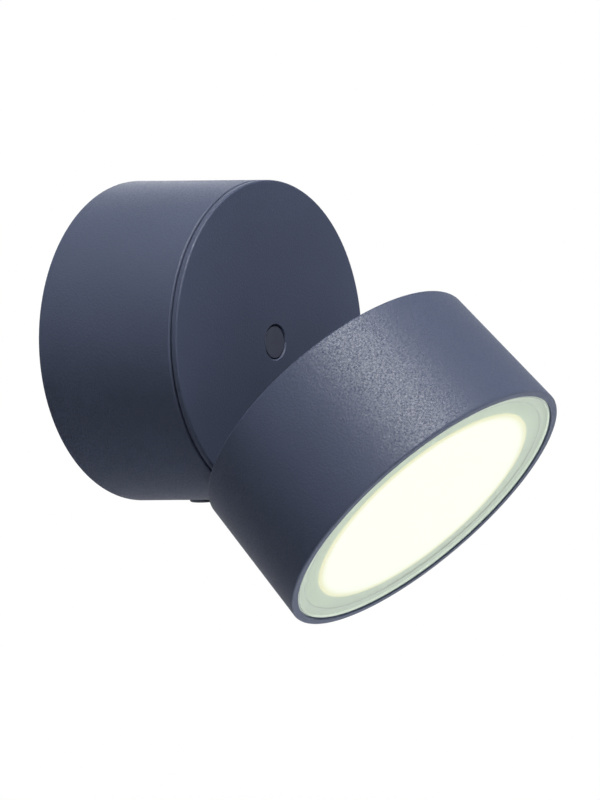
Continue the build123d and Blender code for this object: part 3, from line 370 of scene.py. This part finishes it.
POWDER = powder_coat("powder_coat", colour=srgb(74, 81, 101))
DARK_SCREW = metal("dark_screw", colour=(0.05, 0.054, 0.07, 1), rough=0.42)
ZINC = metal("zinc_steel", colour=(0.62, 0.63, 0.65, 1), rough=0.30, grain_size=0.0025, depth=0.000003)
SPRING = metal("spring_steel", colour=(0.46, 0.46, 0.48, 1), rough=0.24, stretch=(1, 6, 1))
BRASS = metal("brass", colour=(0.74, 0.55, 0.24, 1), rough=0.26, stretch=(1, 1, 6))
RUBBER = moulded("black_rubber", colour=(0.022, 0.022, 0.025, 1), rough=0.62, depth=0.000014)
PLUG = moulded("plug_rubber", colour=srgb(72, 76, 92), rough=0.58, depth=0.000010, specular=0.06)
SILICONE = moulded("silicone", colour=(0.70, 0.73, 0.70, 1), rough=0.36, subsurface=0.15)
TERMINAL = moulded("terminal_plastic", colour=(0.78, 0.77, 0.71, 1), rough=0.44)
DRIVER = moulded("driver_plastic", colour=(0.80, 0.81, 0.80, 1), rough=0.40)
BEARING = moulded("bearing_plastic", colour=(0.66, 0.64, 0.54, 1), rough=0.42)
FRICTION = moulded(
    "friction_plastic", colour=(0.06, 0.055, 0.05, 1), rough=0.70, grain_size=0.0008, depth=0.00002
)
REFLECTOR = lit_white("reflector_white")
BOARD = moulded("board_white", colour=(0.84, 0.85, 0.84, 1), rough=0.30, depth=0.000004)
PAD = moulded("pad_grey", colour=(0.36, 0.38, 0.42, 1), rough=0.66, depth=0.00002)
PHOSPHOR = moulded("led_phosphor", colour=(0.90, 0.72, 0.20, 1), rough=0.30, depth=0.000003)
OPAL = opal("opal_plastic")
GLASS = clear_glass("clear_glass", tint=(0.86, 0.94, 0.87, 1), edge=(0.56, 0.61, 0.55, 1))

FINISHES = {
    POWDER: ("base_housing", "swivel_disc", "hinge_arm", "head_shell", "heat_sink"),
    DARK_SCREW: ("housing_screw", "hinge_screws"),
    ZINC: (
        "wall_bracket",
        "clinch_nut",
        "terminal_screws",
        "terminal_mount_screws",
        "driver_screws",
        "stop_pin",
        "swivel_bolt",
        "spring_washer",
        "arm_screws",
        "heat_sink_screws",
        "board_screws",
    ),
    SPRING: ("disc_spring",),
    BRASS: ("earth_screw", "earth_washer"),
    RUBBER: (
        "wall_gasket",
        "cable_grommet",
        "swivel_seal",
        "arm_gasket",
        "heat_sink_seal",
        "head_grommet",
    ),
    PLUG: ("centre_plug",),
    SILICONE: ("lens_gasket",),
    TERMINAL: ("terminal_block", "led_connector"),
    DRIVER: ("led_driver",),
    BEARING: ("swivel_bush",),
    FRICTION: ("friction_washers",),
    REFLECTOR: ("reflector",),
    BOARD: ("led_board",),
    PAD: ("thermal_pad",),
    PHOSPHOR: ("led_chips",),
    OPAL: ("diffuser",),
    GLASS: ("lens_glass",),
}


def dress():
    """Gives every piece of the light its finish."""
    for material, names in FINISHES.items():
        for name in names:
            slots = nodes[name].data.materials
            slots.clear()
            slots.append(material)


def add_object(name, data):
    """New object in the scene."""
    made = bpy.data.objects.new(name, data)
    bpy.context.scene.collection.objects.link(made)
    return made


def rounded(corners):
    """Closed outline through (radius, along, round) corners, with each round as an arc of short steps."""
    outline = []
    for index, (radius, along, size) in enumerate(corners):
        corner = Vector((radius, along))
        if not size:
            outline.append(corner)
            continue
        back = (Vector(corners[index - 1][:2]) - corner).normalized()
        ahead = (Vector(corners[(index + 1) % len(corners)][:2]) - corner).normalized()
        half = back.angle(ahead) / 2
        centre = corner + (back + ahead).normalized() * size / math.sin(half)
        start = corner + back * size / math.tan(half) - centre
        end = corner + ahead * size / math.tan(half) - centre
        for step in range(ROUND_STEPS + 1):
            outline.append(centre + start.lerp(end, step / ROUND_STEPS).normalized() * size)
    return outline


def turned_mesh(name, outline):
    """Mesh of a closed (radius, along) outline that is turned about the head's axis."""
    side = HEAD_AXIS.orthogonal().normalized()
    other = HEAD_AXIS.cross(side)
    points = []
    faces = []
    for turn in range(TURN_STEPS):
        angle = 2 * math.pi * turn / TURN_STEPS
        outwards = side * math.cos(angle) + other * math.sin(angle)
        points.extend(HEAD_REAR + outwards * radius + HEAD_AXIS * along for radius, along in outline)
        here = turn * len(outline)
        there = (turn + 1) % TURN_STEPS * len(outline)
        for index in range(len(outline)):
            following = (index + 1) % len(outline)
            faces.append((here + index, there + index, there + following, here + following))
    mesh = bpy.data.meshes.new(name)
    mesh.from_pydata(points, [], faces)
    mesh.shade_smooth()
    mesh.set_sharp_from_angle(angle=SHARP_ANGLE)
    return mesh


def turned_piece(name, corners, material):
    """Piece of the head that is turned about its axis."""
    mesh = turned_mesh(name, rounded(corners))
    mesh.materials.append(material)
    piece = add_object(name, mesh)
    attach(piece, "head")
    return piece


def head_radius(along):
    """Outer radius of the slightly flared drum."""
    return HEAD_REAR_RADIUS + (HEAD_FRONT_RADIUS - HEAD_REAR_RADIUS) * along / HEAD_LENGTH


def head_wall(along):
    """Inner radius of the drum's side wall."""
    return head_radius(along) - HEAD_WALL


def head_drum():
    """Smoothly turned drum of the head, whose mouth closes in on the lens as in the photograph."""
    flange_inside = head_wall(FLANGE_FRONT) - FLANGE_WIDTH
    drum = turned_piece("head_drum", [
        (head_radius(0), 0, HEAD_REAR_ROUND),
        (head_radius(HEAD_LENGTH), HEAD_LENGTH, HEAD_FRONT_ROUND),
        (MOUTH_RADIUS, HEAD_LENGTH, MOUTH_ROUND),
        (MOUTH_RADIUS, LENS_SEAT, 0),
        (LEDGE_RADIUS, LENS_SEAT, 0),
        (LEDGE_RADIUS, LEDGE_FOOT, 0),
        (head_wall(LEDGE_SLOPE), LEDGE_SLOPE, 0),
        (head_wall(FLANGE_FRONT), FLANGE_FRONT, 0),
        (flange_inside, FLANGE_FRONT, 0),
        (flange_inside, FLANGE_BACK, 0),
        (head_wall(FLANGE_BACK), FLANGE_BACK, CASTING_ROUND),
        (head_wall(0), 0, HEAD_REAR_ROUND),
    ], POWDER)
    drum.modifiers.new("flat_faces_first", "WEIGHTED_NORMAL").keep_sharp = True
    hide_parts("head_shell")
    return drum


def gasket_ring():
    """Gasket under the glass, drawn in by a hair, so that it shares no plane with the back of the glass."""
    inside = GASKET_INSIDE + GASKET_GAP
    outside = GASKET_OUTSIDE - GASKET_GAP
    front = GASKET_FRONT - GASKET_GAP
    back = LENS_SEAT + GASKET_GAP
    ring = turned_piece("gasket_ring", [
        (outside, back, 0),
        (outside, front, 0),
        (inside, front, 0),
        (inside, back, 0),
    ], SILICONE)
    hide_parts("lens_gasket")
    return ring


def seen_directly(tree):
    """One where the camera, a reflection or a transmission looks, zero where light is gathered."""
    path = tree.nodes.new("ShaderNodeLightPath")
    total = path.outputs["Is Camera Ray"]
    for name in ("Is Glossy Ray", "Is Transmission Ray"):
        larger = tree.nodes.new("ShaderNodeMath")
        larger.operation = "MAXIMUM"
        tree.links.new(total, larger.inputs[0])
        tree.links.new(path.outputs[name], larger.inputs[1])
        total = larger.outputs["Value"]
    return total


def mixed(tree, share, first, second, target):
    """Links a mix of two shaders to the target: the first at a share of zero, the second at one."""
    mix = tree.nodes.new("ShaderNodeMixShader")
    tree.links.new(share, mix.inputs["Fac"])
    tree.links.new(first, mix.inputs[1])
    tree.links.new(second, mix.inputs[2])
    tree.links.new(mix.outputs["Shader"], target)


def studio_world():
    """Soft light from all round, and a white background to look at."""
    world = bpy.data.worlds.new("studio")
    bpy.context.scene.world = world
    world.use_nodes = True
    tree = world.node_tree
    soft = tree.nodes["Background"]
    soft.inputs["Color"].default_value = (0.96, 0.98, 1.0, 1)
    soft.inputs["Strength"].default_value = AMBIENT
    white = tree.nodes.new("ShaderNodeBackground")
    white.inputs["Color"].default_value = (1, 1, 1, 1)
    white.inputs["Strength"].default_value = 1.0
    surface = tree.nodes["World Output"].inputs["Surface"]
    mixed(tree, seen_directly(tree), soft.outputs["Background"], white.outputs["Background"], surface)


def floor_finish():
    """Pale and matt. To the eye it is white, with a trace of shadow left near the middle."""
    material = bpy.data.materials.new("pale_floor")
    material.use_nodes = True
    tree = material.node_tree
    matt = tree.nodes["Principled BSDF"]
    matt.inputs["Base Color"].default_value = (0.58, 0.585, 0.59, 1)
    matt.inputs["Roughness"].default_value = 0.9
    matt.inputs["Specular IOR Level"].default_value = 0.0
    white = tree.nodes.new("ShaderNodeEmission")
    white.inputs["Strength"].default_value = 1.0
    place = tree.nodes.new("ShaderNodeTexCoord")
    distance = tree.nodes.new("ShaderNodeVectorMath")
    distance.operation = "LENGTH"
    tree.links.new(place.outputs["Object"], distance.inputs[0])
    fade = tree.nodes.new("ShaderNodeMapRange")
    fade.inputs["From Min"].default_value = SHADOW_REACH / 2
    fade.inputs["From Max"].default_value = SHADOW_REACH
    fade.inputs["To Min"].default_value = FLOOR_WHITENESS
    fade.inputs["To Max"].default_value = 1.0
    tree.links.new(distance.outputs["Value"], fade.inputs["Value"])
    share = tree.nodes.new("ShaderNodeMath")
    share.operation = "MULTIPLY"
    tree.links.new(seen_directly(tree), share.inputs[0])
    tree.links.new(fade.outputs["Result"], share.inputs[1])
    surface = tree.nodes["Material Output"].inputs["Surface"]
    mixed(tree, share.outputs["Value"], matt.outputs["BSDF"], white.outputs["Emission"], surface)
    return material


def pale_floor():
    """A plain floor well below the light."""
    half = FLOOR_SIZE / 2
    sides = [(-half, -half), (half, -half), (half, half), (-half, half)]
    mesh = bpy.data.meshes.new("floor")
    mesh.from_pydata([(*side, FLOOR_LEVEL) for side in sides], [], [(0, 1, 2, 3)])
    mesh.materials.append(floor_finish())
    add_object("floor", mesh)


def softbox(name, place, size, power, colour=(1, 1, 1), gloss_only=False, only=()):
    """
    Square area lamp that faces the light.
    With gloss_only it shows as a highlight and lights nothing else. With only it is kept to those pieces.
    """
    data = bpy.data.lights.new(name, "AREA")
    data.size = size
    data.energy = power
    data.color = colour
    lamp = add_object(name, data)
    lamp.location = place
    lamp.rotation_euler = (Vector(LIT_MIDDLE) - Vector(place)).to_track_quat("-Z", "Y").to_euler()
    lamp.visible_diffuse = not gloss_only
    lamp.visible_transmission = not gloss_only
    if only:
        receivers = bpy.data.collections.new(name + "_receivers")
        for piece in only:
            receivers.objects.link(piece)
        lamp.light_linking.receiver_collection = receivers


def studio_lamps(drum, ring):
    """A key lamp high on the left, soft fills, and lamps for the lens, its rim and the drum's highlight."""
    lens = [nodes["lens_glass"], nodes["reflector"], nodes["diffuser"], ring]
    below = (0.10, -0.45, -0.28)
    cool = (0.84, 0.92, 1.0)
    warm = (1.0, 0.92, 0.72)
    softbox("key_box", place=(-0.40, -0.46, 1.05), size=0.5, power=18.5)
    softbox("front_box", place=(0.0, -1.3, 0.2), size=0.8, power=2.5, colour=cool)
    softbox("back_box", place=(0.55, 0.75, 0.45), size=0.6, power=3.0)
    softbox("rim_box", place=below, size=0.25, power=0.38)
    softbox("drum_box", place=below, size=0.25, power=3.8, colour=warm, only=[drum])
    softbox("edge_box", place=(0.22, -0.17, -0.27), size=0.09, power=0.9, gloss_only=True, only=lens)
    softbox("highlight_box", place=(-0.53, -0.46, 0.99), size=0.8, power=190.0, gloss_only=True)


def photo_camera():
    """The camera that took the photograph."""
    turn = math.radians(CAMERA_AZIMUTH)
    lift = math.radians(CAMERA_ELEVATION)
    back = Vector((math.sin(turn) * math.cos(lift), -math.cos(turn) * math.cos(lift), math.sin(lift)))
    right = Vector((math.cos(turn), math.sin(turn), 0))
    up = back.cross(right)
    roll = Matrix.Rotation(math.radians(CAMERA_ROLL), 3, back)
    right = roll @ right
    up = roll @ up
    data = bpy.data.cameras.new("photo_camera")
    data.sensor_width = SENSOR_MILLIMETRES
    data.lens = FOCAL_PIXELS / IMAGE_HEIGHT * SENSOR_MILLIMETRES
    data.clip_start = CAMERA_CLIP
    camera = add_object("photo_camera", data)
    axes = Matrix((right, up, back)).transposed().to_4x4()
    place = back * CAMERA_DISTANCE + right * CAMERA_RIGHT + up * CAMERA_UP
    camera.matrix_world = Matrix.Translation(place) @ axes
    bpy.context.scene.camera = camera


dress()
drum = head_drum()
ring = gasket_ring()
studio_world()
pale_floor()
studio_lamps(drum, ring)
photo_camera()
bpy.context.scene.view_settings.view_transform = "Standard"
